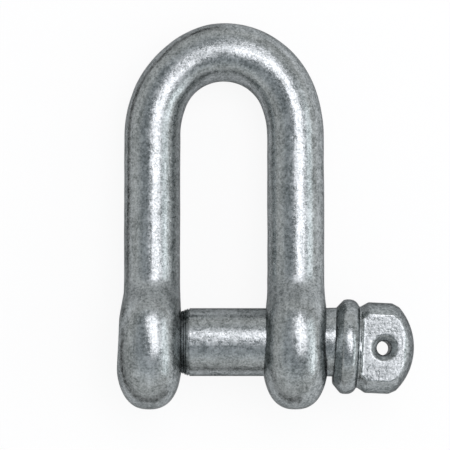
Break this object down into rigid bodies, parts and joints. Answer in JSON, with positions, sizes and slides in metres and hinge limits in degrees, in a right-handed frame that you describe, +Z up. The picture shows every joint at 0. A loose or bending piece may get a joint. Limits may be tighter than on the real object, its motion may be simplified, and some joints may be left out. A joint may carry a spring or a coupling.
{
  "type": "chain joining shackle",
  "caption": "Long D shackle of forged round bar with thick ears, closed by a screw pin with a collar and a flatted, drilled head; joins chains, ropes and lifting eyes.",
  "frame": {"origin": "on the pin's axis, midway between the two legs", "axes": "+X along the pin towards its head, +Y towards the crown, +Z up from the surface that the shackle lies on"},
  "size_m": [0.0829, 0.1082, 0.0311],
  "materials": {
    "bow_zinc": "forged steel, hot-dip galvanised, dull and mottled",
    "pin_zinc": "forged steel, galvanised, slightly brighter on the turned shank"
  },
  "bodies": {
    "bow": {"bow": "bow_zinc"},
    "pin": {"pin": "pin_zinc"}
  },
  "joints": [
    {"name": "pin_draw", "type": "slide", "parent": "bow", "child": "pin", "axis": [1, 0, 0], "range_m": [0, 0.06]}
  ]
}
